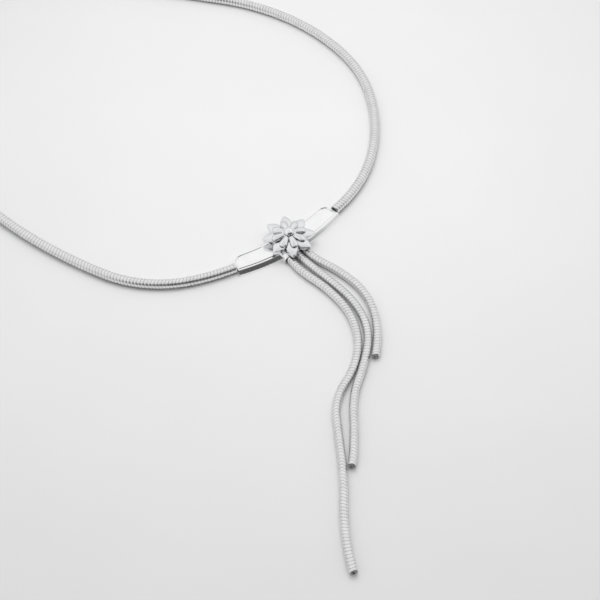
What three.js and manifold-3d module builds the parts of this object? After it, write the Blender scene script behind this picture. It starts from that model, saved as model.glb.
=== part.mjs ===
// A choker necklace that lies open on a table. A polished centre bar with two wings carries a flower
// of two petal layers. A round snake chain leaves both wings and closes behind in a plain clasp, and
// three loose snake chains of unequal length come out from under the flower as a tassel.
// Millimetres, +Z up. The origin is on the flat back of the bar, +X runs along its right wing and +Y
// points into the loop that goes round the neck.
import * as THREE from 'three';
import { mergeVertices } from 'three/addons/utils/BufferGeometryUtils.js';
import Module from 'manifold-3d';

// Chains
const NECK_DIAMETER = 2.4;
const STRAND_DIAMETER = 2.0;
const TUBE_SIDES = 8;
const NECK_STEP = 7.6;
const RING_SIDES = 10;
const RING_PITCH = 1.0;
const RING_GROOVE = 0.13;
const GAP = 0.12;

// Centre bar, as its plan outline and its height
const BAR_CENTRE_X = -0.48;
const BAR_HALF_LENGTH = 15.39;
const BAR_REAR = 1.1;
const BAR_FRONT = -4.75;
const BAR_BOW_RADIUS = 54;
const BAR_HEIGHT = 1.5;
const BAR_LIP_WIDTH = 0.8;
const BAR_LIP_DROP = 1.2;
const BAR_LIP_STEPS = 3;
const BAR_CURVE_STEPS = 14;
const TIP_REAR_HALF = 1.7;
const TIP_FRONT_HALF = 2.15;
const TIP_CENTRE_Y = -0.28;
const TIP_TURN = 10;
const SHOULDER_RUN = 1.8;

// Pegs on the tips that the hollow chain ends slip over
const PEG_RADIUS = 0.45;
const PEG_LENGTH = 1.7;
const BORE_RADIUS = 0.6;
const BORE_DEPTH = 1.9;

// Place of the flower, and the channel under it that holds the three strands, open at the back
const FLOWER_X = -0.4;
const FLOWER_Y = -1.5;
const HOLDER_FRONT = -6.0;
const HOLDER_BACK = -2.6;
const HOLDER_TOP = 2.4;
const HOLDER_WALL = 0.3;
const SEAT_RADIUS = 1.9;
const SLOT_BACK = -4.4;
const SLOT_SIDE_GAP = 0.45;
const STRAND_SPACING = 2.25;
const STRAND_MIDDLE_X = -1.15;

// Flower
const PETALS = 8;
const OUTER_TURN = 18;
const INNER_TURN = 29;
const RIVET_RADIUS = 0.5;
const RIVET_DEPTH = 0.9;
const BEAD_RADIUS = 1.35;
const BEAD_SEAT = 4.84;
const BEAD_RISE = 1.0;
const ROUND_SIDES = 16;

// Petals by sections from the middle outwards: half width, underside, edge top and crest
const OUTER_PETAL = [
  { out: 0.75, half: 0.62, under: 2.52, edge: 3.62, crest: 3.7 },
  { out: 2.2, half: 1.05, under: 2.52, edge: 3.62, crest: 3.76 },
  { out: 3.6, half: 1.45, under: 2.52, edge: 3.6, crest: 3.78 },
  { out: 4.7, half: 1.38, under: 2.52, edge: 3.56, crest: 3.74 },
  { out: 5.6, half: 0.95, under: 2.52, edge: 3.5, crest: 3.64 },
  { out: 6.2, half: 0.48, under: 2.52, edge: 3.44, crest: 3.52 },
  { out: 6.55, half: 0.16, under: 2.52, edge: 3.4, crest: 3.42 },
];
const INNER_PETAL = [
  { out: 0.75, half: 0.5, under: 3.9, edge: 4.45, crest: 4.7 },
  { out: 1.7, half: 0.68, under: 3.9, edge: 4.4, crest: 4.78 },
  { out: 2.6, half: 0.86, under: 3.9, edge: 4.35, crest: 4.76 },
  { out: 3.5, half: 0.95, under: 3.9, edge: 4.3, crest: 4.64 },
  { out: 4.15, half: 0.74, under: 3.9, edge: 4.22, crest: 4.42 },
  { out: 4.45, half: 0.36, under: 3.9, edge: 4.16, crest: 4.26 },
];
const OUTER_HUB = { radius: 2.0, under: 2.52, top: 3.76 };
const INNER_HUB = { radius: 1.7, under: 3.9, top: 4.68 };

// Plan routes of the chains: rows of a run along the chain and the turn made on it, in degrees
const NECK_RIGHT = [
  { run: 20.7, turn: 28.7 },
  { run: 26, turn: 26.8 },
  { run: 14, turn: 20.7 },
  { run: 20, turn: 20.8 },
  { run: 23, turn: 22.5 },
  { run: 40, turn: 2.0 },
  { run: 26, turn: 36.34 },
  { run: 8, turn: 0 },
];
const NECK_LEFT = [
  { run: 11.72, turn: 13.0 },
  { run: 22, turn: 41.4 },
  { run: 33, turn: 14.9 },
  { run: 54.45, turn: 0 },
  { run: 47.15, turn: 112.86 },
  { run: 8, turn: 0 },
];
const STRANDS = [
  {
    name: 'strand_short',
    column: 1,
    heading: -93.2,
    rows: [
      { run: 8, turn: 22.8 },
      { run: 9, turn: -13.6 },
      { run: 9, turn: -27.7 },
      { run: 10, turn: -19.4 },
      { run: 5.8, turn: -6.1 },
    ],
  },
  {
    name: 'strand_middle',
    column: 0,
    heading: -90.3,
    rows: [
      { run: 10, turn: 8.2 },
      { run: 8, turn: -4.6 },
      { run: 8, turn: -18.6 },
      { run: 10, turn: -30.3 },
      { run: 10, turn: -10.6 },
      { run: 10, turn: 19.7 },
      { run: 10, turn: -4.4 },
      { run: 4.8, turn: -5.7 },
    ],
  },
  {
    name: 'strand_long',
    column: -1,
    heading: -99.4,
    rows: [
      { run: 10, turn: 22.1 },
      { run: 10, turn: -15 },
      { run: 8, turn: -21.2 },
      { run: 8, turn: -21.8 },
      { run: 10, turn: -21.9 },
      { run: 10, turn: 34.4 },
      { run: 10, turn: 0.4 },
      { run: 12, turn: -6.9 },
      { run: 12, turn: 8.6 },
      { run: 7.2, turn: 8 },
    ],
  },
];
const END_DISH_RADIUS = 0.62;
const END_DISH_DEPTH = 0.45;

// Clasp: a plain barrel that both chain ends enter
const CLASP_RADIUS = 1.85;
const CLASP_PLAY = 0.2;
const CLASP_OVERLAP = 1.6;
const CLASP_LIFT = CLASP_RADIUS - NECK_DIAMETER / 2;
const CLASP_SETTLE = 16;
const CLASP_EDGE = 0.3;

const wasm = await Module();
wasm.setup();

const rad = THREE.MathUtils.degToRad;

function solid(geometry) {
  const bare = geometry.clone();
  bare.deleteAttribute('normal');
  bare.deleteAttribute('uv');
  const joined = mergeVertices(bare, 1e-4);
  return new wasm.Manifold(new wasm.Mesh({
    numProp: 3,
    vertProperties: new Float32Array(joined.attributes.position.array),
    triVerts: new Uint32Array(joined.index.array),
  }));
}

function geometryOf(body) {
  const mesh = body.getMesh();
  const geometry = new THREE.BufferGeometry();
  geometry.setAttribute('position', new THREE.BufferAttribute(new Float32Array(mesh.vertProperties), 3));
  geometry.setIndex(new THREE.BufferAttribute(new Uint32Array(mesh.triVerts), 1));
  geometry.computeVertexNormals();
  return geometry;
}

// A chain's centre line: tangent arcs in plan, with a soft rise into the piece at either end
class ChainRoute extends THREE.Curve {
  constructor({ start, heading, rows, mirror = 1, rest, lift = [0, 0], settle = [1, 1] }) {
    super();
    Object.assign(this, { start, heading, rows, mirror, rest, lift, settle });
    this.total = rows.reduce((sum, row) => sum + row.run, 0);
  }

  plan(distance) {
    let [x, y] = this.start;
    let angle = rad(this.heading);
    let left = distance;
    for (const { run, turn } of this.rows) {
      const part = Math.min(left, run);
      const swing = rad(turn) * (part / run);
      const half = swing / 2;
      const chord = Math.abs(half) > 1e-9 ? part * Math.sin(half) / half : part;
      x += chord * Math.cos(angle + half);
      y += chord * Math.sin(angle + half);
      angle += swing;
      left -= part;
      if (left <= 0) break;
    }
    return { x: x * this.mirror, y, angle: this.mirror > 0 ? angle : Math.PI - angle };
  }

  getPoint(t, target = new THREE.Vector3()) {
    const distance = t * this.total;
    const { x, y } = this.plan(distance);
    const ease = (d, length) => 1 - THREE.MathUtils.smoothstep(d, 0, length);
    const rise = this.lift[0] * ease(distance, this.settle[0])
      + this.lift[1] * ease(this.total - distance, this.settle[1]);
    return target.set(x, y, this.rest + rise);
  }
}

// A tube of regular section with a flat underneath, its flats one diameter apart
function tube(route, diameter, step) {
  const corner = diameter / 2 / Math.cos(Math.PI / TUBE_SIDES);
  const section = new THREE.Shape();
  for (let k = 0; k < TUBE_SIDES; k += 1) {
    const angle = (2 * k + 1) * Math.PI / TUBE_SIDES;
    const move = k === 0 ? 'moveTo' : 'lineTo';
    section[move](corner * Math.cos(angle), corner * Math.sin(angle));
  }
  section.closePath();
  const steps = Math.ceil(route.total / step);
  return solid(new THREE.ExtrudeGeometry(section, { steps, extrudePath: route, bevelEnabled: false }));
}

// A snake chain of rings that nest close together, fused into one body with a groove between rings
function ringedChain(route, diameter) {
  const rings = Math.round(route.total / RING_PITCH);
  const loops = [];
  for (let k = 0; k <= 2 * rings; k += 1) {
    const distance = k * route.total / (2 * rings);
    const { x, y, angle } = route.plan(distance);
    const radius = diameter / 2 * (k % 2 === 0 ? 1 - RING_GROOVE : 1);
    const loop = [];
    for (let j = 0; j < RING_SIDES; j += 1) {
      const turn = -Math.PI / 2 + (2 * j + 1) * Math.PI / RING_SIDES;
      const side = radius * Math.cos(turn);
      loop.push(new THREE.Vector3(
        x - side * Math.sin(angle), y + side * Math.cos(angle), route.rest + radius * Math.sin(turn)));
    }
    loops.push(loop);
  }
  return loft(loops);
}

// A round rod from one point to another
function rod(from, to, radius, sides = ROUND_SIDES) {
  const axis = to.clone().sub(from);
  const geometry = new THREE.CylinderGeometry(radius, radius, axis.length(), sides);
  const turn = new THREE.Quaternion().setFromUnitVectors(
    new THREE.Vector3(0, 1, 0), axis.clone().normalize());
  geometry.applyQuaternion(turn);
  const middle = from.clone().add(to).multiplyScalar(0.5);
  geometry.translate(middle.x, middle.y, middle.z);
  return solid(geometry);
}

// A recess of the given size in a chain's end, where t is 0 at its start and 1 at its far end
function endRecess(route, t, radius, depth) {
  const face = route.getPoint(t);
  const inward = route.getTangent(t).multiplyScalar(t < 0.5 ? 1 : -1);
  const outer = face.clone().addScaledVector(inward, -depth);
  return rod(outer, face.clone().addScaledVector(inward, depth), radius, 10);
}

// A closed body through a row of rings that all have the same number of corners
function loft(rings) {
  const corners = rings[0].length;
  const points = rings.flat();
  const index = [];
  for (let r = 0; r + 1 < rings.length; r += 1) {
    for (let k = 0; k < corners; k += 1) {
      const a = r * corners + k;
      const b = r * corners + (k + 1) % corners;
      index.push(a, b, b + corners, a, b + corners, a + corners);
    }
  }
  const last = (rings.length - 1) * corners;
  for (let k = 1; k + 1 < corners; k += 1) {
    index.push(0, k + 1, k);
    index.push(last, last + k, last + k + 1);
  }
  const geometry = new THREE.BufferGeometry().setFromPoints(points);
  geometry.setIndex(index);
  return solid(geometry);
}

function petal(rows) {
  return loft(rows.map(({ out, half, under, edge, crest }) => [
    new THREE.Vector3(out, -half, under),
    new THREE.Vector3(out, half, under),
    new THREE.Vector3(out, half, edge),
    new THREE.Vector3(out, half / 2, (edge + 2 * crest) / 3),
    new THREE.Vector3(out, -half / 2, (edge + 2 * crest) / 3),
    new THREE.Vector3(out, -half, edge),
  ]));
}

function disc(radius, under, top, sides = ROUND_SIDES) {
  return rod(new THREE.Vector3(0, 0, under), new THREE.Vector3(0, 0, top), radius, sides);
}

// One layer of the flower: petals round a hub with a hole for the rivet
function petalLayer(rows, hub, turn) {
  let layer = disc(hub.radius, hub.under, hub.top);
  const one = petal(rows);
  for (let k = 0; k < PETALS; k += 1) {
    layer = layer.add(one.rotate([0, 0, turn + k * 360 / PETALS]));
  }
  const hole = disc(RIVET_RADIUS + GAP, hub.under - 1, hub.top + 1, 12);
  return layer.subtract(hole).translate([FLOWER_X, FLOWER_Y, 0]);
}

function tipPoint(side) {
  return { x: BAR_CENTRE_X + side * BAR_HALF_LENGTH, y: TIP_CENTRE_Y };
}

// Plan outline of the bar: back and front bowed alike, rounded shoulders and square tips
function barOutline() {
  const turn = rad(TIP_TURN);
  const rearTip = {
    x: BAR_HALF_LENGTH - TIP_REAR_HALF * Math.sin(turn),
    y: TIP_CENTRE_Y + TIP_REAR_HALF * Math.cos(turn),
  };
  const frontTip = {
    x: BAR_HALF_LENGTH + TIP_FRONT_HALF * Math.sin(turn),
    y: TIP_CENTRE_Y - TIP_FRONT_HALF * Math.cos(turn),
  };
  const bow = (x) => BAR_BOW_RADIUS - Math.sqrt(BAR_BOW_RADIUS ** 2 - x * x);
  const outline = new THREE.Shape();
  outline.moveTo(BAR_CENTRE_X - rearTip.x, rearTip.y);
  outline.lineTo(BAR_CENTRE_X - frontTip.x, frontTip.y);
  for (let k = 1; k < BAR_CURVE_STEPS; k += 1) {
    const x = -frontTip.x + 2 * frontTip.x * k / BAR_CURVE_STEPS;
    outline.lineTo(BAR_CENTRE_X + x, BAR_FRONT + bow(x));
  }
  outline.lineTo(BAR_CENTRE_X + frontTip.x, frontTip.y);
  outline.lineTo(BAR_CENTRE_X + rearTip.x, rearTip.y);
  const shoulder = rearTip.x - SHOULDER_RUN;
  for (let k = 0; k <= BAR_CURVE_STEPS; k += 1) {
    const x = shoulder - 2 * shoulder * k / BAR_CURVE_STEPS;
    outline.lineTo(BAR_CENTRE_X + x, BAR_REAR + bow(x));
  }
  outline.closePath();
  return outline;
}

function centreBar() {
  const plate = solid(new THREE.ExtrudeGeometry(barOutline(), {
    depth: BAR_HEIGHT - BAR_LIP_DROP,
    bevelEnabled: true,
    bevelThickness: BAR_LIP_DROP,
    bevelSize: BAR_LIP_WIDTH,
    bevelOffset: -BAR_LIP_WIDTH,
    bevelSegments: BAR_LIP_STEPS,
  }));
  const box = (x0, x1, y0, y1, z0, z1) => {
    const geometry = new THREE.BoxGeometry(x1 - x0, y1 - y0, z1 - z0);
    return solid(geometry.translate((x0 + x1) / 2, (y0 + y1) / 2, (z0 + z1) / 2));
  };
  const reach = 2 * BAR_HALF_LENGTH;
  const below = box(-reach, reach, -reach, reach, -reach, 0);
  const slotHalf = STRAND_SPACING + STRAND_DIAMETER / 2 + SLOT_SIDE_GAP;
  const slotTop = STRAND_DIAMETER + GAP;
  const middle = STRAND_MIDDLE_X;
  const wall = HOLDER_WALL;
  const holder = box(
    middle - slotHalf - wall, middle + slotHalf + wall, HOLDER_FRONT, HOLDER_BACK, 0, HOLDER_TOP);
  const slot = box(
    middle - slotHalf, middle + slotHalf, HOLDER_FRONT - wall, SLOT_BACK + GAP, -wall, slotTop);
  const seat = disc(SEAT_RADIUS, RIVET_DEPTH, HOLDER_TOP).translate([FLOWER_X, FLOWER_Y, 0]);
  const rivetHole = disc(RIVET_RADIUS + GAP, RIVET_DEPTH - GAP, HOLDER_TOP + 1, 12);
  let bar = plate.subtract(below).add(seat).add(holder).subtract(slot);
  bar = bar.subtract(rivetHole.translate([FLOWER_X, FLOWER_Y, 0]));
  for (const side of [-1, 1]) {
    const { x, y } = tipPoint(side);
    const along = new THREE.Vector3(side * Math.cos(rad(TIP_TURN)), Math.sin(rad(TIP_TURN)), 0);
    const face = new THREE.Vector3(x, y, NECK_DIAMETER / 2);
    const root = face.clone().addScaledVector(along, -PEG_LENGTH);
    bar = bar.add(rod(root, face.clone().addScaledVector(along, PEG_LENGTH), PEG_RADIUS, 10));
  }
  return bar;
}

// Polished bead, one piece with the rivet that holds both petal layers on the bar
function beadRivet() {
  const profile = [new THREE.Vector2(0, RIVET_DEPTH), new THREE.Vector2(RIVET_RADIUS, RIVET_DEPTH)];
  profile.push(new THREE.Vector2(RIVET_RADIUS, BEAD_SEAT));
  const bands = 6;
  for (let k = 0; k <= bands; k += 1) {
    const angle = (k / bands) * Math.PI / 2;
    profile.push(new THREE.Vector2(BEAD_RADIUS * Math.cos(angle), BEAD_SEAT + BEAD_RISE * Math.sin(angle)));
  }
  profile[profile.length - 1].x = 0;
  const geometry = new THREE.LatheGeometry(profile, ROUND_SIDES);
  geometry.rotateX(Math.PI / 2);
  return solid(geometry).translate([FLOWER_X, FLOWER_Y, 0]);
}

function neckRoute(rows, mirror) {
  const out = GAP;
  return new ChainRoute({
    start: [
      BAR_HALF_LENGTH + mirror * BAR_CENTRE_X + out * Math.cos(rad(TIP_TURN)),
      TIP_CENTRE_Y + out * Math.sin(rad(TIP_TURN)),
    ],
    heading: TIP_TURN,
    rows,
    mirror,
    rest: NECK_DIAMETER / 2,
    lift: [0, CLASP_LIFT],
    settle: [1, CLASP_SETTLE],
  });
}

function neckChain(route) {
  return tube(route, NECK_DIAMETER, NECK_STEP).subtract(endRecess(route, 0, BORE_RADIUS, BORE_DEPTH));
}

function strandRoute({ column, heading, rows }) {
  return new ChainRoute({
    start: [STRAND_MIDDLE_X + column * STRAND_SPACING, SLOT_BACK],
    heading,
    rows,
    rest: STRAND_DIAMETER / 2 * Math.cos(Math.PI / RING_SIDES),
  });
}

function strand(route) {
  return ringedChain(route, STRAND_DIAMETER)
    .subtract(endRecess(route, 1, END_DISH_RADIUS, END_DISH_DEPTH));
}

// Barrel with a blind socket at both ends, laid between the two chain ends
function clasp(rightRoute, leftRoute) {
  const from = rightRoute.getPoint(1);
  const to = leftRoute.getPoint(1);
  const half = from.distanceTo(to) / 2 + CLASP_OVERLAP;
  const profile = [
    new THREE.Vector2(0, -half),
    new THREE.Vector2(CLASP_RADIUS - CLASP_EDGE, -half),
    new THREE.Vector2(CLASP_RADIUS, -half + CLASP_EDGE),
    new THREE.Vector2(CLASP_RADIUS, half - CLASP_EDGE),
    new THREE.Vector2(CLASP_RADIUS - CLASP_EDGE, half),
    new THREE.Vector2(0, half),
  ];
  const barrel = new THREE.LatheGeometry(profile, ROUND_SIDES);
  const axis = to.clone().sub(from).normalize();
  barrel.applyQuaternion(new THREE.Quaternion().setFromUnitVectors(new THREE.Vector3(0, 1, 0), axis));
  const middle = from.clone().add(to).multiplyScalar(0.5);
  barrel.translate(middle.x, middle.y, middle.z);
  const socketRadius = NECK_DIAMETER / 2 / Math.cos(Math.PI / TUBE_SIDES) + CLASP_PLAY;
  const socket = (end, sign) => rod(
    end.clone().addScaledVector(axis, sign * GAP),
    end.clone().addScaledVector(axis, -sign * 2 * CLASP_OVERLAP), socketRadius);
  return solid(barrel).subtract(socket(from, 1)).subtract(socket(to, -1));
}

const rightRoute = neckRoute(NECK_RIGHT, 1);
const leftRoute = neckRoute(NECK_LEFT, -1);

const polished = () => new THREE.MeshStandardMaterial({ color: 0xdcdddf, roughness: 0.12, metalness: 1 });
const satin = () => new THREE.MeshStandardMaterial({ color: 0xd2d3d6, roughness: 0.22, metalness: 1 });
const ribbed = () => new THREE.MeshStandardMaterial({ color: 0xc6c8cb, roughness: 0.3, metalness: 1 });

const necklace = new THREE.Group();
necklace.name = 'choker_necklace';

function place(group, name, body, material) {
  const mesh = new THREE.Mesh(geometryOf(body), material);
  mesh.name = name;
  group.add(mesh);
}

const centrepiece = new THREE.Group();
place(centrepiece, 'centre_bar', centreBar(), polished());
place(centrepiece, 'outer_petals', petalLayer(OUTER_PETAL, OUTER_HUB, OUTER_TURN), satin());
place(centrepiece, 'inner_petals', petalLayer(INNER_PETAL, INNER_HUB, INNER_TURN), satin());
place(centrepiece, 'bead_rivet', beadRivet(), polished());
necklace.add(centrepiece);

const loop = new THREE.Group();
place(loop, 'neck_chain_right', neckChain(rightRoute), ribbed());
place(loop, 'neck_chain_left', neckChain(leftRoute), ribbed());
place(loop, 'clasp', clasp(rightRoute, leftRoute), polished());
necklace.add(loop);

const tassel = new THREE.Group();
for (const row of STRANDS) {
  place(tassel, row.name, strand(strandRoute(row)), ribbed());
}
necklace.add(tassel);

export default necklace;
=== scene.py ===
"""Choker necklace lying open: snake chains, a bowed bar, a layered flower and a chain tassel."""

import math
from collections import namedtuple

import bmesh
import bpy
from bpy.props import FloatProperty, FloatVectorProperty, IntProperty, PointerProperty
from mathutils import Matrix, Vector


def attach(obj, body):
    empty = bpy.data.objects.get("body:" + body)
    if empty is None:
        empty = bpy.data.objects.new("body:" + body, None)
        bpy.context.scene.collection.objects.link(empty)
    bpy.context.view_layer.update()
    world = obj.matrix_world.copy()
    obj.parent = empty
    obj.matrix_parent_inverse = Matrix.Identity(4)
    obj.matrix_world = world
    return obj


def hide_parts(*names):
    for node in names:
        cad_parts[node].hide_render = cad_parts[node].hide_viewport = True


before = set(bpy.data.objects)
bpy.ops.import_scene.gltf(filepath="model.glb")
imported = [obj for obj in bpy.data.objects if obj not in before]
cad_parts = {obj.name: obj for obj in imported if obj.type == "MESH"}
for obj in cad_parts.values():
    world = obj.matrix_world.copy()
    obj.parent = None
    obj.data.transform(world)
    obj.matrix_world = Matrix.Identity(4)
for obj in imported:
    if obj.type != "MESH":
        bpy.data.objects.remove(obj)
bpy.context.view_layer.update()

bl_info = {
    "name": "Choker Necklace",
    "version": (1, 0, 0),
    "blender": (4, 5, 0),
    "location": "View3D > Sidebar > Choker",
    "description": "Builds a snake-chain choker with a flower bar and a chain tassel",
    "category": "Add Mesh",
}

MM = 0.001
BODY = "root"

# Plan routes of the chains in millimetres and degrees: a run along the chain and the turn made on it
Bend = namedtuple("Bend", "run turn")
NECK_RIGHT = (
    Bend(20.7, 28.7),
    Bend(26, 26.8),
    Bend(14, 20.7),
    Bend(20, 20.8),
    Bend(23, 22.5),
    Bend(40, 2.0),
    Bend(26, 36.34),
    Bend(8, 0),
)
NECK_LEFT = (
    Bend(11.72, 13.0),
    Bend(22, 41.4),
    Bend(33, 14.9),
    Bend(54.45, 0),
    Bend(47.15, 112.86),
    Bend(8, 0),
)
STRAND_SHORT = (
    Bend(8, 22.8),
    Bend(9, -13.6),
    Bend(9, -27.7),
    Bend(10, -19.4),
    Bend(5.8, -6.1),
)
STRAND_MIDDLE = (
    Bend(10, 8.2),
    Bend(8, -4.6),
    Bend(8, -18.6),
    Bend(10, -30.3),
    Bend(10, -10.6),
    Bend(10, 19.7),
    Bend(10, -4.4),
    Bend(4.8, -5.7),
)
STRAND_LONG = (
    Bend(10, 22.1),
    Bend(10, -15),
    Bend(8, -21.2),
    Bend(8, -21.8),
    Bend(10, -21.9),
    Bend(10, 34.4),
    Bend(10, 0.4),
    Bend(12, -6.9),
    Bend(12, 8.6),
    Bend(7.2, 8),
)
Strand = namedtuple("Strand", "node column heading bends")
STRANDS = (
    Strand("strand_short", 1, -93.2, STRAND_SHORT),
    Strand("strand_middle", 0, -90.3, STRAND_MIDDLE),
    Strand("strand_long", -1, -99.4, STRAND_LONG),
)

# Where the chains start, in millimetres
TIP_TURN = 10
TIP_GAP = 0.12
NECK_DISH = 0.2
STRAND_DISH = 0.4
DISH_RIM = 0.3
STRAND_MIDDLE_X = -1.15
STRAND_SPACING = 2.25
STRAND_TOP_Y = -4.4
CLASP_RISE = 0.65
CLASP_SETTLE = 16
ROUTE_STEP = 0.8

# One ring of a snake chain: how far along its pitch, how far out of the groove, and how deep in it (the
# depth darkens the colour: tarnish and painted shade)
RingRow = namedtuple("RingRow", "along swell groove")
RING_PROFILE = (
    RingRow(0.0, 0.0, 1.0),
    RingRow(0.26, 1.0, 0.0),
    RingRow(0.74, 1.0, 0.0),
    RingRow(1.0, 0.0, 1.0),
)

# Petals by sections from the middle outwards, in millimetres
PetalRow = namedtuple("PetalRow", "out half under edge crest")
OUTER_PETAL = (
    PetalRow(0.75, 0.62, 2.52, 3.62, 3.7),
    PetalRow(2.2, 1.05, 2.52, 3.62, 3.76),
    PetalRow(3.6, 1.45, 2.52, 3.6, 3.78),
    PetalRow(4.7, 1.38, 2.52, 3.56, 3.74),
    PetalRow(5.6, 0.95, 2.52, 3.5, 3.64),
    PetalRow(6.2, 0.48, 2.52, 3.44, 3.52),
    PetalRow(6.55, 0.16, 2.52, 3.4, 3.42),
)
INNER_PETAL = (
    PetalRow(0.75, 0.5, 3.9, 4.45, 4.7),
    PetalRow(1.7, 0.68, 3.9, 4.4, 4.78),
    PetalRow(2.6, 0.86, 3.9, 4.35, 4.76),
    PetalRow(3.5, 0.95, 3.9, 4.3, 4.64),
    PetalRow(4.15, 0.74, 3.9, 4.22, 4.42),
    PetalRow(4.45, 0.36, 3.9, 4.16, 4.26),
)
Hub = namedtuple("Hub", "radius under top")
OUTER_HUB = Hub(2.0, 2.52, 3.76)
INNER_HUB = Hub(1.7, 3.9, 4.68)
PETAL_ALONG = 14
PETAL_ACROSS = 8
PETAL_METAL = 0.2

# Holder of the strands under the flower, in millimetres
HOLDER_MIDDLE_X = -1.15
HOLDER_HALF = 4.0
HOLDER_FRONT = -6.0
HOLDER_BACK = -2.6
HOLDER_TOP = 2.4
HOLDER_WALL = 0.28
HOLDER_SQUARENESS = 5
HOLDER_DIP = 0.12
HOLDER_DIP_SHARPNESS = 6
SEAT_RADIUS = 1.9
CORNER_SHARPNESS = 16
HOLDER_MATERIAL = 1

# Section of the bar's lip from the top outwards: millimetres inside the front edge and inside the
# other edges, and the share of the bar's height
LipRow = namedtuple("LipRow", "front back high")
LIP_PROFILE = (
    LipRow(1.5, 0.62, 0.96),
    LipRow(1.37, 0.5, 0.87),
    LipRow(1.24, 0.38, 0.96),
    LipRow(0.88, 0.16, 0.95),
    LipRow(0.78, 0.12, 0.9),
    LipRow(0.58, 0.08, 0.71),
    LipRow(0.36, 0.06, 0.5),
    LipRow(0.15, 0.04, 0.29),
    LipRow(0.04, 0.02, 0.12),
    LipRow(0.0, 0.0, 0.0),
)

# Light of the pale tent by the sine of the height angle
TentRow = namedtuple("TentRow", "height light")
TENT = (
    TentRow(0.0, 0.62),
    TentRow(0.5, 0.87),
    TentRow(0.78, 0.98),
    TentRow(1.0, 0.78),
)

# Dim opening where the camera stands: its heading, the cosines of its sides and the sines of its top
Opening = namedtuple("Opening", "heading side_none side_full high_none high_full light")
OPENING = Opening(254, 0.45, 0.82, 0.9, 0.76, 0.1)

HALF_TURN = math.pi
FULL_TURN = 2 * math.pi
SOFT_EDGE = math.radians(40)
BEAD_EDGE = math.radians(50)
CLASP_EDGE = math.radians(35)


class ChainSizes(bpy.types.PropertyGroup):
    """Sizes of the round snake chains"""

    neck_diameter: FloatProperty(
        name="Neck chain", description="Diameter of the chain round the neck",
        default=2.4 * MM, min=0.5 * MM, unit="LENGTH", precision=5)
    strand_diameter: FloatProperty(
        name="Strands", description="Diameter of the tassel's chains",
        default=2.0 * MM, min=0.5 * MM, unit="LENGTH", precision=5)
    pitch: FloatProperty(
        name="Ring pitch", description="Length of chain that one ring takes",
        default=0.85 * MM, min=0.2 * MM, unit="LENGTH", precision=5)
    groove: FloatProperty(
        name="Groove", description="Depth of the groove between rings, as a share of the radius",
        default=0.08, min=0.0, max=0.5, subtype="FACTOR")
    wave: FloatProperty(
        name="Wave", description="How far a ring's saddle shape leans along the chain, in pitches",
        default=0.24, min=0.0, max=0.6, subtype="FACTOR")
    twist: FloatProperty(
        name="Twist", description="Turn of the rings along a metre of chain",
        default=52.0, subtype="ANGLE")
    sides: IntProperty(
        name="Ring sides", description="Corners round one ring", default=16, min=8, max=32)


class BarSizes(bpy.types.PropertyGroup):
    """Sizes of the centre bar"""

    half_length: FloatProperty(
        name="Half length", description="From the middle of the bar to a tip",
        default=15.39 * MM, unit="LENGTH", precision=5)
    centre_x: FloatProperty(
        name="Middle", description="Middle of the bar along its length",
        default=-0.48 * MM, unit="LENGTH", precision=5)
    rear: FloatProperty(
        name="Back edge", description="Place of the bowed back edge in the middle",
        default=1.1 * MM, unit="LENGTH", precision=5)
    front: FloatProperty(
        name="Front edge", description="Place of the bowed front edge in the middle",
        default=-4.75 * MM, unit="LENGTH", precision=5)
    bow_radius: FloatProperty(
        name="Bow", description="Radius of both long edges",
        default=54 * MM, unit="LENGTH", precision=5)
    height: FloatProperty(
        name="Height", description="Thickness of the bar",
        default=1.5 * MM, unit="LENGTH", precision=5)
    tip_rear: FloatProperty(
        name="Tip back", description="From the chain to the back corner of the tip",
        default=1.7 * MM, unit="LENGTH", precision=5)
    tip_front: FloatProperty(
        name="Tip front", description="From the chain to the front corner of the tip",
        default=2.15 * MM, unit="LENGTH", precision=5)
    tip_y: FloatProperty(
        name="Tip place", description="Middle of the tip across the bar",
        default=-0.28 * MM, unit="LENGTH", precision=5)


class FlowerSizes(bpy.types.PropertyGroup):
    """Place and sizes of the flower"""

    x: FloatProperty(
        name="Along bar", description="Middle of the flower along the bar",
        default=-0.4 * MM, unit="LENGTH", precision=5)
    y: FloatProperty(
        name="Across bar", description="Middle of the flower across the bar",
        default=-1.5 * MM, unit="LENGTH", precision=5)
    petals: IntProperty(name="Petals", description="Petals in each layer", default=8, min=3)
    outer_turn: FloatProperty(
        name="Outer turn", description="Direction of the first outer petal",
        default=math.radians(18), subtype="ANGLE")
    inner_turn: FloatProperty(
        name="Inner turn", description="Direction of the first inner petal",
        default=math.radians(29), subtype="ANGLE")
    edge_round: FloatProperty(
        name="Edge rounding", description="Rounding of the petals' edges",
        default=0.12 * MM, unit="LENGTH", precision=5)
    bead_radius: FloatProperty(
        name="Bead", description="Radius of the bead", default=1.35 * MM, unit="LENGTH", precision=5)
    bead_seat: FloatProperty(
        name="Bead seat", description="Height that the bead sits at",
        default=4.84 * MM, unit="LENGTH", precision=5)
    bead_rise: FloatProperty(
        name="Bead rise", description="Height of the bead's dome",
        default=1.0 * MM, unit="LENGTH", precision=5)
    rivet_radius: FloatProperty(
        name="Rivet", description="Radius of the rivet under the bead",
        default=0.5 * MM, unit="LENGTH", precision=5)
    rivet_depth: FloatProperty(
        name="Rivet foot", description="Height of the rivet's foot",
        default=0.9 * MM, unit="LENGTH", precision=5)


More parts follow.
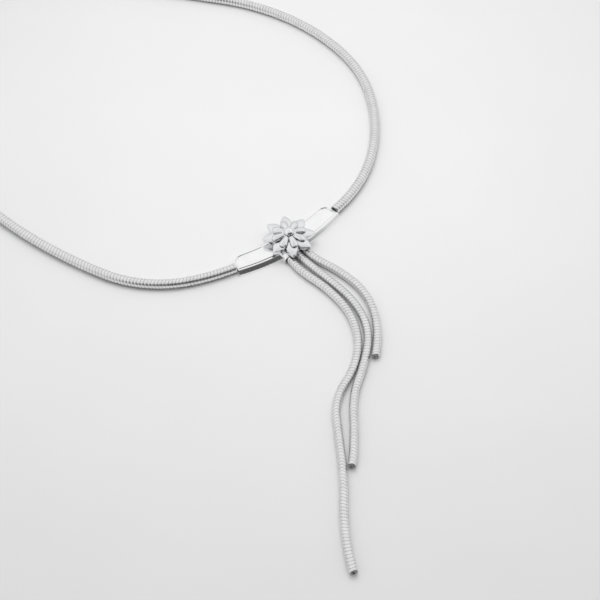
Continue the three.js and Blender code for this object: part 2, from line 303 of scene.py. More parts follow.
class ClaspSizes(bpy.types.PropertyGroup):
    """Sizes of the plain barrel clasp"""

    radius: FloatProperty(
        name="Radius", description="Radius of the barrel", default=1.85 * MM, unit="LENGTH", precision=5)
    overlap: FloatProperty(
        name="Overlap", description="Length of chain inside each end",
        default=1.6 * MM, unit="LENGTH", precision=5)
    socket: FloatProperty(
        name="Socket wall", description="Wall round the chain in each end",
        default=0.35 * MM, unit="LENGTH", precision=5)
    edge_round: FloatProperty(
        name="Edge rounding", description="Rounding of the barrel's ends",
        default=0.3 * MM, unit="LENGTH", precision=5)


class SilverLook(bpy.types.PropertyGroup):
    """Colours and polish of the silver"""

    bright: FloatVectorProperty(
        name="Bright", description="Colour of clean polished silver",
        default=(0.95, 0.95, 0.955), size=3, subtype="COLOR", min=0, max=1)
    dull: FloatVectorProperty(
        name="Dull", description="Colour of faintly tarnished silver",
        default=(0.90, 0.90, 0.905), size=3, subtype="COLOR", min=0, max=1)
    chain_bright: FloatVectorProperty(
        name="Chain bright", description="Colour of the chain's rubbed rings",
        default=(0.87, 0.87, 0.87), size=3, subtype="COLOR", min=0, max=1)
    chain_dull: FloatVectorProperty(
        name="Chain dull", description="Colour of the chain's duller rings",
        default=(0.80, 0.80, 0.80), size=3, subtype="COLOR", min=0, max=1)
    petal_bright: FloatVectorProperty(
        name="Petal bright", description="Colour of the frosted petals",
        default=(0.86, 0.86, 0.86), size=3, subtype="COLOR", min=0, max=1)
    petal_dull: FloatVectorProperty(
        name="Petal dull", description="Colour of the petals' duller spots",
        default=(0.79, 0.79, 0.79), size=3, subtype="COLOR", min=0, max=1)
    # The holder's two colours are darkened to paint the shade that falls under the flower; the noise between
    # them is a drift of tone
    holder_shaded_bright: FloatVectorProperty(
        name="Holder bright", description="Colour of the unpolished holder",
        default=(0.56, 0.56, 0.56), size=3, subtype="COLOR", min=0, max=1)
    holder_shaded_dull: FloatVectorProperty(
        name="Holder dull", description="Colour of the holder's duller spots",
        default=(0.46, 0.46, 0.46), size=3, subtype="COLOR", min=0, max=1)
    # Colour at the bottom of the chain's grooves: part tarnish, part painted shade
    groove: FloatVectorProperty(
        name="Groove", description="Colour in the grooves of the chain",
        default=(0.55, 0.55, 0.56), size=3, subtype="COLOR", min=0, max=1)


class StageLook(bpy.types.PropertyGroup):
    """Floor, light and camera"""

    floor: FloatVectorProperty(
        name="Floor", description="Colour of the floor",
        default=(0.745, 0.745, 0.745), size=3, subtype="COLOR", min=0, max=1)
    key: FloatProperty(
        name="Softbox", description="Power of the large softbox overhead", default=0.26, min=0, unit="POWER")
    key_back: FloatProperty(
        name="Softbox back", description="How far behind the aim the softbox hangs",
        default=70 * MM, unit="LENGTH")
    key_height: FloatProperty(
        name="Softbox height", description="Height of the softbox above the floor",
        default=200 * MM, unit="LENGTH")
    lens: FloatProperty(
        name="Lens", description="Focal length of the camera in millimetres", default=102.0)
    turn: FloatProperty(
        name="Turn", description="Direction that the camera looks in, from +Y",
        default=math.radians(37.8), subtype="ANGLE")
    height: FloatProperty(
        name="Height angle", description="Angle of the camera above the floor",
        default=math.radians(51), subtype="ANGLE")
    distance: FloatProperty(
        name="Distance", description="From the camera to the point that it looks at",
        default=413.9 * MM, unit="LENGTH")
    aim: FloatVectorProperty(
        name="Aim", description="Point on the floor that the camera looks at",
        default=(-9.16 * MM, -17.27 * MM, 0), size=3, subtype="XYZ", unit="LENGTH", precision=5)


class ChokerSettings(bpy.types.PropertyGroup):
    """All settings of the choker"""

    chain: PointerProperty(type=ChainSizes)
    bar: PointerProperty(type=BarSizes)
    flower: PointerProperty(type=FlowerSizes)
    clasp: PointerProperty(type=ClaspSizes)
    silver: PointerProperty(type=SilverLook)
    stage: PointerProperty(type=StageLook)


def chain_route(start, heading, bends, rest, mirror=1, rise=0.0):
    """Points of a chain's centre line in metres, made of tangent arcs in plan."""
    total = sum(bend.run for bend in bends)
    x, y = start
    angle = math.radians(heading)
    points = []
    done = 0.0
    for bend in bends:
        parts = max(1, math.ceil(bend.run / ROUTE_STEP))
        swing = math.radians(bend.turn) / parts
        step = bend.run / parts
        chord = step * (math.sin(swing / 2) / (swing / 2) if abs(swing) > 1e-9 else 1.0)
        for part in range(parts):
            points.append((x, y, done))
            x += chord * math.cos(angle + swing / 2)
            y += chord * math.sin(angle + swing / 2)
            angle += swing
            done += step
    points.append((x, y, done))
    route = []
    for px, py, along in points:
        near_end = max(0.0, 1.0 - (total - along) / CLASP_SETTLE)
        ease = near_end * near_end * (3 - 2 * near_end)
        route.append(Vector((px * mirror, py, rest)) * MM + Vector((0, 0, rise * ease * MM)))
    return route, total * MM


def neck_route(settings, bends, mirror):
    """Route of one half of the neck chain, from the bar's tip to the clasp."""
    turn = math.radians(TIP_TURN)
    bar = settings.bar
    start = (
        (bar.half_length + mirror * bar.centre_x) / MM + TIP_GAP * math.cos(turn),
        bar.tip_y / MM + TIP_GAP * math.sin(turn),
    )
    rest = settings.chain.neck_diameter / 2 / MM
    return chain_route(start, TIP_TURN, bends, rest, mirror, CLASP_RISE)


def link_mesh(name, mesh):
    """A new object at the origin that shows the mesh."""
    piece = bpy.data.objects.new(name, mesh)
    bpy.context.scene.collection.objects.link(piece)
    return piece


def baked_mesh(piece, name):
    """The mesh that an object's modifiers make, as a mesh of its own."""
    depsgraph = bpy.context.evaluated_depsgraph_get()
    mesh = bpy.data.meshes.new_from_object(
        piece.evaluated_get(depsgraph), preserve_all_data_layers=True, depsgraph=depsgraph)
    mesh.name = name
    return mesh


def ring_mesh(settings, radius):
    """One ring of a snake chain along +X, from groove to groove, with its saddle-shaped lean."""
    chain = settings.chain
    ring = bmesh.new()
    groove = ring.verts.layers.float.new("groove")
    first = RING_PROFILE[0]
    made = bmesh.ops.create_circle(ring, segments=chain.sides, radius=radius * (1 - chain.groove))
    bmesh.ops.rotate(ring, verts=made["verts"], matrix=Matrix.Rotation(HALF_TURN / 2, 3, "Y"))
    for vert in made["verts"]:
        vert[groove] = first.groove
    edges = list(ring.edges)
    for row in RING_PROFILE[1:]:
        grown = bmesh.ops.extrude_edge_only(ring, edges=edges)["geom"]
        edges = [item for item in grown if isinstance(item, bmesh.types.BMEdge)]
        edges = [edge for edge in edges if len(edge.link_faces) == 1]
        reach = radius * (1 - chain.groove * (1 - row.swell))
        for vert in {vert for edge in edges for vert in edge.verts}:
            spoke = Vector((0, vert.co.y, vert.co.z)).normalized() * reach
            vert.co = spoke + Vector((row.along * chain.pitch, 0, 0))
            vert[groove] = row.groove
    for vert in ring.verts:
        lean = math.cos(2 * math.atan2(vert.co.z, vert.co.y))
        vert.co.x += chain.wave * chain.pitch * lean
    bmesh.ops.recalc_face_normals(ring, faces=ring.faces)
    mesh = bpy.data.meshes.new("ring")
    ring.to_mesh(mesh)
    ring.free()
    return mesh


def close_ends(mesh, length, radius, dish):
    """Cuts both ends of a straight chain square, closes them and sinks a dish in them."""
    chain = bmesh.new()
    chain.from_mesh(mesh)
    groove = chain.verts.layers.float["groove"]
    rim = [edge for edge in chain.edges if edge.is_boundary]
    for end, inward in ((0.0, 1.0), (length, -1.0)):
        loop = [edge for edge in rim if abs(edge.verts[0].co.x - end) < length / 2]
        for vert in {vert for edge in loop for vert in edge.verts}:
            vert.co.x = end
        cap = bmesh.ops.contextual_create(chain, geom=loop)["faces"]
        bmesh.ops.inset_region(chain, faces=cap, thickness=DISH_RIM * radius, use_even_offset=True)
        walls = bmesh.ops.extrude_discrete_faces(chain, faces=cap)["faces"]
        bmesh.ops.translate(
            chain, verts=walls[0].verts, vec=Vector((inward * dish, 0, 0)))
        # The dish bottom takes the full groove mask, so it is darkened: tarnish and painted shade in the
        # recess
        for vert in walls[0].verts:
            vert[groove] = 1.0
    bmesh.ops.recalc_face_normals(chain, faces=chain.faces)
    chain.to_mesh(mesh)
    chain.free()


def snake_chain(settings, node, route, length, diameter, dish):
    """A round snake chain along a route, as one mesh of nested rings."""
    chain = settings.chain
    rings = round(length / chain.pitch)
    radius = diameter / 2
    straight = link_mesh("straight_chain", ring_mesh(settings, radius))
    array = straight.modifiers.new("Rings", "ARRAY")
    array.count = rings
    array.use_relative_offset = False
    array.use_constant_offset = True
    array.constant_offset_displace = (chain.pitch, 0, 0)
    array.use_merge_vertices = True
    array.merge_threshold = chain.pitch / 1000
    row = baked_mesh(straight, "row_of_rings")
    straight.modifiers.clear()
    straight.data = row
    close_ends(row, rings * chain.pitch, radius, dish)

    line = bpy.data.curves.new("chain_route", "CURVE")
    line.dimensions = "3D"
    line.twist_mode = "Z_UP"
    spline = line.splines.new("POLY")
    spline.points.add(len(route) - 1)
    along = 0.0
    for index, (point, place) in enumerate(zip(spline.points, route)):
        along += (place - route[index - 1]).length if index else 0.0
        point.co = (*place, 1.0)
        point.tilt = chain.twist * along
    path = bpy.data.objects.new("chain_route", line)
    bpy.context.scene.collection.objects.link(path)
    bend = straight.modifiers.new("Route", "CURVE")
    bend.object = path
    bend.deform_axis = "POS_X"
    mesh = baked_mesh(straight, node)
    for spare in (straight, path):
        bpy.data.objects.remove(spare)
    mesh.shade_smooth()
    return link_mesh(node + "_rings", mesh)


def stand_for(piece, nodes, material):
    """Gives a finished piece its material and its place in the frame."""
    piece.data.materials.clear()
    piece.data.materials.append(material)
    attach(piece, BODY)
    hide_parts(*nodes)


def piece_from(shape, name, smooth_angle=None):
    """An object at the origin from a bmesh, shaded smooth apart from its sharp edges."""
    mesh = bpy.data.meshes.new(name)
    shape.to_mesh(mesh)
    shape.free()
    mesh.shade_smooth()
    if smooth_angle is not None:
        mesh.set_sharp_from_angle(angle=smooth_angle)
    return link_mesh(name, mesh)


def new_material(name):
    """A node material with its Principled shader."""
    material = bpy.data.materials.new(name)
    material.use_nodes = True
    return material, material.node_tree.nodes, material.node_tree.links


def two_tone(nodes, links, low, high, scale, detail):
    """Object-space noise turned into a soft mix of two colours."""
    place = nodes.new("ShaderNodeTexCoord")
    noise = nodes.new("ShaderNodeTexNoise")
    noise.inputs["Scale"].default_value = scale
    noise.inputs["Detail"].default_value = detail
    links.new(place.outputs["Object"], noise.inputs["Vector"])
    ramp = nodes.new("ShaderNodeValToRGB")
    ramp.color_ramp.elements[0].position = 0.35
    ramp.color_ramp.elements[0].color = (*low, 1)
    ramp.color_ramp.elements[1].position = 0.65
    ramp.color_ramp.elements[1].color = (*high, 1)
    links.new(noise.outputs["Fac"], ramp.inputs["Fac"])
    return place, noise, ramp


def polish_range(nodes, links, source, low, high):
    """Roughness that drifts between two values with a noise."""
    spread = nodes.new("ShaderNodeMapRange")
    spread.inputs["To Min"].default_value = low
    spread.inputs["To Max"].default_value = high
    links.new(source, spread.inputs["Value"])
    return spread.outputs["Result"]


def polished_silver(silver, name, low_rough, high_rough, scratch):
    """Bright silver with faint drifts of tone and hair-fine polishing marks."""
    material, nodes, links = new_material(name)
    shader = nodes["Principled BSDF"]
    shader.inputs["Metallic"].default_value = 1.0
    place, noise, ramp = two_tone(nodes, links, silver.dull, silver.bright, 260.0, 3.0)
    links.new(ramp.outputs["Color"], shader.inputs["Base Color"])
    rough = polish_range(nodes, links, noise.outputs["Fac"], low_rough, high_rough)
    links.new(rough, shader.inputs["Roughness"])
    marks = nodes.new("ShaderNodeTexNoise")
    marks.inputs["Scale"].default_value = 900.0
    marks.inputs["Detail"].default_value = 2.0
    stretch = nodes.new("ShaderNodeMapping")
    stretch.inputs["Scale"].default_value = (0.15, 1.0, 1.0)
    links.new(place.outputs["Object"], stretch.inputs["Vector"])
    links.new(stretch.outputs["Vector"], marks.inputs["Vector"])
    bump = nodes.new("ShaderNodeBump")
    bump.inputs["Strength"].default_value = scratch
    bump.inputs["Distance"].default_value = 0.02 * MM
    links.new(marks.outputs["Fac"], bump.inputs["Height"])
    links.new(bump.outputs["Normal"], shader.inputs["Normal"])
    return material


def satin_silver(name, low, high, metal):
    """Unpolished silver with broad drifts of tone."""
    material, nodes, links = new_material(name)
    shader = nodes["Principled BSDF"]
    shader.inputs["Metallic"].default_value = metal
    _, noise, ramp = two_tone(nodes, links, low, high, 500.0, 2.0)
    links.new(ramp.outputs["Color"], shader.inputs["Base Color"])
    rough = polish_range(nodes, links, noise.outputs["Fac"], 0.4, 0.55)
    links.new(rough, shader.inputs["Roughness"])
    return material


def chain_silver(silver):
    """Silver of the rings, darker down in the grooves between them: tarnish there, and painted shade in the
    hollows.
    """
    material, nodes, links = new_material("snake_chain_silver")
    shader = nodes["Principled BSDF"]
    shader.inputs["Metallic"].default_value = 1.0
    _, noise, ramp = two_tone(nodes, links, silver.chain_dull, silver.chain_bright, 420.0, 3.0)
    # The groove mask darkens the base colour: tarnish and painted shade in the grooves
    depth = nodes.new("ShaderNodeAttribute")
    depth.attribute_name = "groove"
    shade = nodes.new("ShaderNodeValToRGB")
    shade.color_ramp.elements[0].position = 0.35
    shade.color_ramp.elements[0].color = (1, 1, 1, 1)
    shade.color_ramp.elements[1].position = 1.0
    shade.color_ramp.elements[1].color = (*silver.groove, 1)
    links.new(depth.outputs["Fac"], shade.inputs["Fac"])
    tone = nodes.new("ShaderNodeMix")
    tone.data_type = "RGBA"
    tone.blend_type = "MULTIPLY"
    tone.inputs["Factor"].default_value = 1.0
    links.new(ramp.outputs["Color"], tone.inputs["A"])
    links.new(shade.outputs["Color"], tone.inputs["B"])
    links.new(tone.outputs["Result"], shader.inputs["Base Color"])
    rough = polish_range(nodes, links, noise.outputs["Fac"], 0.22, 0.36)
    links.new(rough, shader.inputs["Roughness"])
    return material


def material_named(name, make):
    """The material of that name, made once."""
    return bpy.data.materials.get(name) or make()


class CHOKER_OT_neck_chain(bpy.types.Operator):
    """Make both halves of the snake chain that goes round the neck"""

    bl_idname = "choker.neck_chain"
    bl_label = "Neck Chain"

    def execute(self, context):
        settings = context.scene.choker
        material = material_named("snake_chain_silver", lambda: chain_silver(settings.silver))
        halves = (("neck_chain_right", NECK_RIGHT, 1), ("neck_chain_left", NECK_LEFT, -1))
        for node, bends, mirror in halves:
            route, length = neck_route(settings, bends, mirror)
            piece = snake_chain(
                settings, node, route, length, settings.chain.neck_diameter, NECK_DISH * MM)
            stand_for(piece, [node], material)
        return {"FINISHED"}


class CHOKER_OT_tassel(bpy.types.Operator):
    """Make the loose snake chains of the tassel"""

    bl_idname = "choker.tassel"
    bl_label = "Tassel"

    def execute(self, context):
        settings = context.scene.choker
        material = material_named("snake_chain_silver", lambda: chain_silver(settings.silver))
        rest = settings.chain.strand_diameter / 2 / MM
        for strand in STRANDS:
            start = (STRAND_MIDDLE_X + strand.column * STRAND_SPACING, STRAND_TOP_Y)
            route, length = chain_route(start, strand.heading, strand.bends, rest)
            piece = snake_chain(
                settings, strand.node, route, length, settings.chain.strand_diameter, STRAND_DISH * MM)
            stand_for(piece, [strand.node], material)
        return {"FINISHED"}


def bar_plan(bar, u, v, row):
    """Place on the bar: u runs from tip to tip and v from front to back, for one row of the lip."""
    turn = math.radians(TIP_TURN)
    back_corner = bar.tip_rear - row.back * MM
    lean = (back_corner if v > 0 else bar.tip_front) * math.sin(turn)
    x = u * (bar.half_length - row.back * MM - v * lean)
    bow = bar.bow_radius - math.sqrt(bar.bow_radius ** 2 - x * x)
    front = bar.front + bow + row.front * MM
    rear = bar.rear + bow - row.back * MM
    tip_rear = bar.tip_y + back_corner * math.cos(turn)
    rear += (tip_rear - rear) * abs(u) ** CORNER_SHARPNESS
    y = front + (rear - front) * (v + 1) / 2
    return x + bar.centre_x, y


def add_holder(shape):
    """Arched cover over the tops of the strands, open below."""
    made = bmesh.ops.create_grid(shape, x_segments=32, y_segments=8, size=1.0)["verts"]
    power = 2 / HOLDER_SQUARENESS
    for vert in made:
        angle = (vert.co.x + 1) / 2 * HALF_TURN
        side = math.copysign(abs(math.cos(angle)) ** power, -math.cos(angle))
        dip = HOLDER_DIP * max(0.0, -vert.co.y) ** HOLDER_DIP_SHARPNESS
        y = HOLDER_FRONT + (HOLDER_BACK - HOLDER_FRONT) * (vert.co.y + 1) / 2
        high = max(0.0, math.sin(angle)) ** power * HOLDER_TOP * (1 - dip)
        vert.co = Vector((HOLDER_MIDDLE_X + side * HOLDER_HALF, y, high)) * MM
    faces = list({face for vert in made for face in vert.link_faces})
    bmesh.ops.recalc_face_normals(shape, faces=faces)
    grown = bmesh.ops.solidify(shape, geom=faces, thickness=HOLDER_WALL * MM)["geom"]
    faces += [item for item in grown if isinstance(item, bmesh.types.BMFace)]
    for face in faces:
        face.material_index = HOLDER_MATERIAL


class CHOKER_OT_centre_bar(bpy.types.Operator):
    """Make the polished bar with its rounded lip and the holder of the strands"""

    bl_idname = "choker.centre_bar"
    bl_label = "Centre Bar"

    def execute(self, context):
        settings = context.scene.choker
        bar = settings.bar
        shape = bmesh.new()
        bmesh.ops.create_grid(shape, x_segments=64, y_segments=8, size=1.0)
        uv = {vert: vert.co.xy for vert in shape.verts}
        for vert, (u, v) in uv.items():
            x, y = bar_plan(bar, u, v, LIP_PROFILE[0])
            vert.co = (x, y, bar.height * (1 - (1 - LIP_PROFILE[0].high) * v * v))
        edges = [edge for edge in shape.edges if edge.is_boundary]
        for vert in {vert for edge in edges for vert in edge.verts}:
            vert.co.z = LIP_PROFILE[0].high * bar.height
        for row in LIP_PROFILE[1:]:
            before = dict(uv)
            grown = bmesh.ops.extrude_edge_only(shape, edges=edges)["geom"]
            edges = [item for item in grown if isinstance(item, bmesh.types.BMEdge)]
            edges = [edge for edge in edges if len(edge.link_faces) == 1]
            for vert in {vert for edge in edges for vert in edge.verts}:
                linked = [edge.other_vert(vert) for edge in vert.link_edges]
                uv[vert] = next(before[other] for other in linked if other in before)
                vert.co = (*bar_plan(bar, *uv[vert], row), row.high * bar.height)
        bmesh.ops.contextual_create(shape, geom=edges)
        seat = Matrix.Translation((settings.flower.x, settings.flower.y, HOLDER_TOP / 2 * MM))
        bmesh.ops.create_cone(
            shape, cap_ends=True, segments=40, radius1=SEAT_RADIUS * MM, radius2=SEAT_RADIUS * MM,
            depth=HOLDER_TOP * MM, matrix=seat)
        bmesh.ops.recalc_face_normals(shape, faces=shape.faces)
        add_holder(shape)
        piece = piece_from(shape, "centre_bar_polished", SOFT_EDGE)
        material = material_named(
            "bar_silver", lambda: polished_silver(settings.silver, "bar_silver", 0.12, 0.17, 0.008))
        stand_for(piece, ["centre_bar"], material)
        # The holder gets its own darker material: painted shade under the flower
        silver = settings.silver
        piece.data.materials.append(material_named(
            "holder_painted_shade_silver",
            lambda: satin_silver("holder_painted_shade_silver", silver.holder_shaded_dull, silver.holder_shaded_bright, 1.0)))
        return {"FINISHED"}


def section_at(rows, share):
    """A petal's section a share of the way along it, eased between the table's rows."""
    place = share * (len(rows) - 1)
    index = min(int(place), len(rows) - 2)
    t = place - index
    before = rows[max(index - 1, 0)]
    after = rows[min(index + 2, len(rows) - 1)]
    values = []
    for a, b, c, d in zip(before, rows[index], rows[index + 1], after):
        slope_b, slope_c = (c - a) / 2, (d - b) / 2
        values.append(
            (2 * t ** 3 - 3 * t ** 2 + 1) * b + (t ** 3 - 2 * t ** 2 + t) * slope_b
            + (3 * t ** 2 - 2 * t ** 3) * c + (t ** 3 - t ** 2) * slope_c)
    return PetalRow(*values)


def petal_layer(flower, rows, hub, turn, name):
    """One layer of the flower: petals with rounded edges round a hub."""
    shape = bmesh.new()
    bmesh.ops.create_grid(shape, x_segments=PETAL_ALONG, y_segments=PETAL_ACROSS, size=1.0)
    for vert in shape.verts:
        row = section_at(rows, (vert.co.x + 1) / 2)
        across = vert.co.y
        rise = (row.crest - row.edge) * (1 - across * across)
        vert.co = Vector((row.out, across * row.half, row.edge + rise)) * MM
    rim = [edge for edge in shape.edges if edge.is_boundary]
    grown = bmesh.ops.extrude_edge_only(shape, edges=rim)["geom"]
    for vert in (item for item in grown if isinstance(item, bmesh.types.BMVert)):
        vert.co.z = rows[0].under * MM
    loop = [edge for edge in shape.edges if edge.is_boundary]
    bmesh.ops.contextual_create(shape, geom=loop)
    bmesh.ops.recalc_face_normals(shape, faces=shape.faces)
    bmesh.ops.bevel(
        shape, geom=rim, offset=flower.edge_round, segments=2, profile=0.5, affect="EDGES", material=-1)
    step = FULL_TURN / flower.petals
    bmesh.ops.spin(
        shape, geom=shape.verts[:] + shape.edges[:] + shape.faces[:], cent=(0, 0, 0), axis=(0, 0, 1),
        angle=FULL_TURN - step, steps=flower.petals - 1, use_duplicate=True)
    middle = Matrix.Translation((0, 0, (hub.under + hub.top) / 2 * MM))
    bmesh.ops.create_cone(
        shape, cap_ends=True, segments=32, radius1=hub.radius * MM, radius2=hub.radius * MM,
        depth=(hub.top - hub.under) * MM, matrix=middle)
    place = Matrix.Translation((flower.x, flower.y, 0)) @ Matrix.Rotation(turn, 4, "Z")
    bmesh.ops.transform(shape, matrix=place, verts=shape.verts)
    return piece_from(shape, name, SOFT_EDGE)


class CHOKER_OT_flower(bpy.types.Operator):
    """Make both petal layers and the bead that holds them"""

    bl_idname = "choker.flower"
    bl_label = "Flower"

    def execute(self, context):
        settings = context.scene.choker
        flower = settings.flower
        silver = settings.silver
        material = material_named(
            "petal_silver",
            lambda: satin_silver("petal_silver", silver.petal_dull, silver.petal_bright, PETAL_METAL))
        layers = (
            ("outer_petals", OUTER_PETAL, OUTER_HUB, flower.outer_turn),
            ("inner_petals", INNER_PETAL, INNER_HUB, flower.inner_turn),
        )
        for node, rows, hub, turn in layers:
            piece = petal_layer(flower, rows, hub, turn, node + "_cast")
            stand_for(piece, [node], material)

        bead = bmesh.new()
        bmesh.ops.create_uvsphere(bead, u_segments=32, v_segments=20, radius=1.0)
        bmesh.ops.scale(
            bead, verts=bead.verts, vec=(flower.bead_radius, flower.bead_radius, flower.bead_rise))
        bmesh.ops.bisect_plane(
            bead, geom=bead.verts[:] + bead.edges[:] + bead.faces[:], plane_co=(0, 0, 0),
            plane_no=(0, 0, 1), clear_inner=True)
        rim = [edge for edge in bead.edges if edge.is_boundary]
        base = bmesh.ops.contextual_create(bead, geom=rim)["faces"]
        bmesh.ops.inset_region(
            bead, faces=base, thickness=flower.bead_radius - flower.rivet_radius, use_even_offset=True)
        foot = bmesh.ops.extrude_discrete_faces(bead, faces=base)["faces"]
        bmesh.ops.translate(
            bead, verts=foot[0].verts, vec=(0, 0, flower.rivet_depth - flower.bead_seat))
        bmesh.ops.translate(bead, verts=bead.verts, vec=(flower.x, flower.y, flower.bead_seat))
        bmesh.ops.recalc_face_normals(bead, faces=bead.faces)
        piece = piece_from(bead, "bead_rivet_polished", BEAD_EDGE)
        shine = material_named(
            "bar_silver", lambda: polished_silver(settings.silver, "bar_silver", 0.12, 0.17, 0.008))
        stand_for(piece, ["bead_rivet"], shine)
        return {"FINISHED"}


class CHOKER_OT_clasp(bpy.types.Operator):
    """Make the plain barrel that both ends of the neck chain enter"""

    bl_idname = "choker.clasp"
    bl_label = "Clasp"

    def execute(self, context):
        settings = context.scene.choker
        clasp = settings.clasp
        right = neck_route(settings, NECK_RIGHT, 1)[0][-1]
        left = neck_route(settings, NECK_LEFT, -1)[0][-1]
        axis = left - right
        length = axis.length + 2 * clasp.overlap
        shape = bmesh.new()
        bmesh.ops.create_cone(
            shape, cap_ends=True, segments=40, radius1=clasp.radius, radius2=clasp.radius, depth=length)
        ends = [face for face in shape.faces if abs(face.normal.z) > 0.9]
        bmesh.ops.inset_individual(shape, faces=ends, thickness=clasp.socket, use_even_offset=True)
        for face in bmesh.ops.extrude_discrete_faces(shape, faces=ends)["faces"]:
            depth = clasp.overlap + TIP_GAP * MM
            bmesh.ops.translate(shape, verts=face.verts, vec=-face.normal * depth)
        outer = [
            edge for edge in shape.edges
            if all(abs(vert.co.xy.length - clasp.radius) < clasp.socket / 4 for vert in edge.verts)
            and abs(edge.verts[0].co.z - edge.verts[1].co.z) < clasp.socket / 4]
        bmesh.ops.bevel(
            shape, geom=outer, offset=clasp.edge_round / 2, segments=3, profile=0.5, affect="EDGES",
            material=-1)
        place = Matrix.Translation((right + left) / 2) @ axis.to_track_quat("Z", "Y").to_matrix().to_4x4()
        bmesh.ops.transform(shape, matrix=place, verts=shape.verts)
        bmesh.ops.recalc_face_normals(shape, faces=shape.faces)
        piece = piece_from(shape, "clasp_barrel", CLASP_EDGE)
        material = material_named(
            "bar_silver", lambda: polished_silver(settings.silver, "bar_silver", 0.12, 0.17, 0.008))
        stand_for(piece, ["clasp"], material)
        return {"FINISHED"}


def heading_vector(degrees, elevation):
    """Unit vector towards a plan heading, from +X, at a height angle."""
    a, e = math.radians(degrees), math.radians(elevation)
    return Vector((math.cos(a) * math.cos(e), math.sin(a) * math.cos(e), math.sin(e)))


def add_panel(name, size, place, aim, power):
    """A large soft rectangular light."""
    light = bpy.data.lights.new(name, "AREA")
    light.shape = "RECTANGLE"
    light.size, light.size_y = size
    light.energy = power
    panel = bpy.data.objects.new(name, light)
    panel.location = place
    panel.rotation_mode = "QUATERNION"
    panel.rotation_quaternion = (aim - place).to_track_quat("-Z", "Y")
    bpy.context.scene.collection.objects.link(panel)
    return panel


def floor_material(stage):
    """Pale matt table top with a barely seen grain."""
    material, nodes, links = new_material("pale_table")
    shader = nodes["Principled BSDF"]
    shader.inputs["Roughness"].default_value = 0.6
    shader.inputs["Specular IOR Level"].default_value = 0.25
    low = [value * 0.985 for value in stage.floor]
    _, _, ramp = two_tone(nodes, links, low, stage.floor, 30.0, 4.0)
    links.new(ramp.outputs["Color"], shader.inputs["Base Color"])
    return material


def fade_between(nodes, links, source, none, full):
    """A share that grows from 0 to 1 between two values."""
    fade = nodes.new("ShaderNodeMapRange")
    fade.interpolation_type = "SMOOTHSTEP"
    fade.inputs["From Min"].default_value = none
    fade.inputs["From Max"].default_value = full
    links.new(source, fade.inputs["Value"])
    return fade.outputs["Result"]


def studio_world():
    """Pale tent, brightest half-way up, with a dim opening on the camera's side."""
    world = bpy.data.worlds.new("studio")
    bpy.context.scene.world = world
    world.use_nodes = True
    nodes, links = world.node_tree.nodes, world.node_tree.links
    place = nodes.new("ShaderNodeTexCoord")
    split = nodes.new("ShaderNodeSeparateXYZ")
    links.new(place.outputs["Generated"], split.inputs["Vector"])
    rise = nodes.new("ShaderNodeValToRGB")
    ramp = rise.color_ramp
    ramp.elements.new(TENT[1].height)
    ramp.elements.new(TENT[2].height)
    for stop, row in zip(ramp.elements, TENT):
        stop.position = row.height
        stop.color = (row.light, row.light, row.light, 1)
    links.new(split.outputs["Z"], rise.inputs["Fac"])
    level = nodes.new("ShaderNodeVectorMath")
    level.operation = "MULTIPLY"
    level.inputs[1].default_value = (1, 1, 0)
    links.new(place.outputs["Generated"], level.inputs[0])
    unit = nodes.new("ShaderNodeVectorMath")
    unit.operation = "NORMALIZE"
    links.new(level.outputs["Vector"], unit.inputs[0])
    toward = nodes.new("ShaderNodeVectorMath")
    toward.operation = "DOT_PRODUCT"
    toward.inputs[1].default_value = heading_vector(OPENING.heading, 0)
    links.new(unit.outputs["Vector"], toward.inputs[0])
    side = fade_between(nodes, links, toward.outputs["Value"], OPENING.side_none, OPENING.side_full)
    low = fade_between(nodes, links, split.outputs["Z"], OPENING.high_none, OPENING.high_full)
    dim = nodes.new("ShaderNodeMath")
    dim.operation = "MULTIPLY"
    links.new(side, dim.inputs[0])
    links.new(low, dim.inputs[1])
    tone = nodes.new("ShaderNodeMix")
    tone.data_type = "RGBA"
    tone.inputs["B"].default_value = (OPENING.light, OPENING.light, OPENING.light, 1)
    links.new(dim.outputs["Value"], tone.inputs["Factor"])
    links.new(rise.outputs["Color"], tone.inputs["A"])
    links.new(tone.outputs["Result"], nodes["Background"].inputs["Color"])
    nodes["Background"].inputs["Strength"].default_value = 1.0


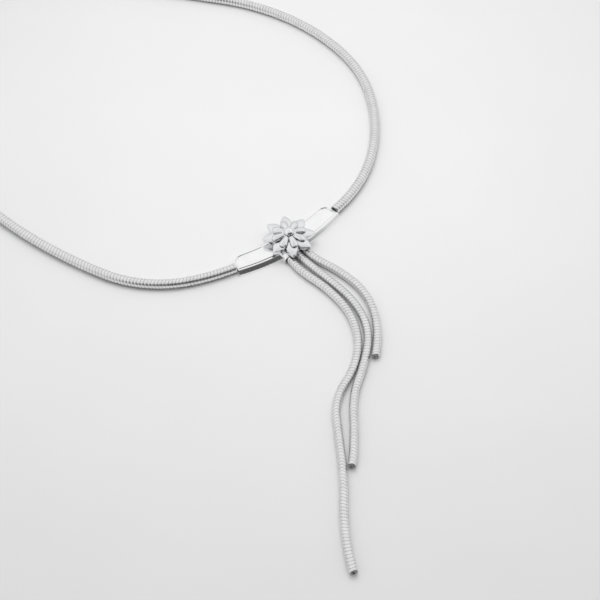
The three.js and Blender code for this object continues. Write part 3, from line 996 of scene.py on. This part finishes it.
class CHOKER_OT_stage(bpy.types.Operator):
    """Lay the pale floor and set the soft lights and the camera"""

    bl_idname = "choker.stage"
    bl_label = "Stage"

    def execute(self, context):
        stage = context.scene.choker.stage
        context.scene.view_settings.view_transform = "Standard"
        floor = bmesh.new()
        bmesh.ops.create_grid(floor, x_segments=2, y_segments=2, size=1.5)
        table = piece_from(floor, "table_top")
        table.data.materials.append(floor_material(stage))

        studio_world()
        aim = Vector(stage.aim)
        back = 90 - math.degrees(stage.turn)
        under = aim + heading_vector(back, 0) * stage.key_back
        over = under + Vector((0, 0, stage.key_height))
        softbox = add_panel("softbox", (0.2, 0.2), over, under, stage.key)
        softbox.visible_glossy = False
        softbox.visible_camera = False

        lens = bpy.data.cameras.new("camera")
        lens.lens = stage.lens
        lens.sensor_width = 36.0
        lens.clip_start = 0.01
        camera = bpy.data.objects.new("camera", lens)
        look = heading_vector(back, -math.degrees(stage.height))
        camera.location = aim - look * stage.distance
        camera.rotation_mode = "QUATERNION"
        camera.rotation_quaternion = look.to_track_quat("-Z", "Y")
        context.scene.collection.objects.link(camera)
        context.scene.camera = camera
        return {"FINISHED"}


class CHOKER_PT_panel(bpy.types.Panel):
    """Buttons that make the pieces of the choker"""

    bl_idname = "CHOKER_PT_panel"
    bl_label = "Choker"
    bl_space_type = "VIEW_3D"
    bl_region_type = "UI"
    bl_category = "Choker"

    def draw(self, context):
        for operator in OPERATORS:
            self.layout.operator(operator.bl_idname)


GROUPS = (
    ChainSizes, BarSizes, FlowerSizes, ClaspSizes, SilverLook, StageLook, ChokerSettings)
OPERATORS = (
    CHOKER_OT_stage, CHOKER_OT_neck_chain, CHOKER_OT_tassel, CHOKER_OT_centre_bar, CHOKER_OT_flower,
    CHOKER_OT_clasp)
CLASSES = (*GROUPS, *OPERATORS, CHOKER_PT_panel)


def register():
    for cls in CLASSES:
        bpy.utils.register_class(cls)
    bpy.types.Scene.choker = PointerProperty(type=ChokerSettings)


def unregister():
    del bpy.types.Scene.choker
    for cls in reversed(CLASSES):
        bpy.utils.unregister_class(cls)


def main():
    register()
    bpy.ops.choker.stage()
    bpy.ops.choker.neck_chain()
    bpy.ops.choker.tassel()
    bpy.ops.choker.centre_bar()
    bpy.ops.choker.flower()
    bpy.ops.choker.clasp()
    bpy.context.view_layer.update()


if __name__ == "__main__":
    main()
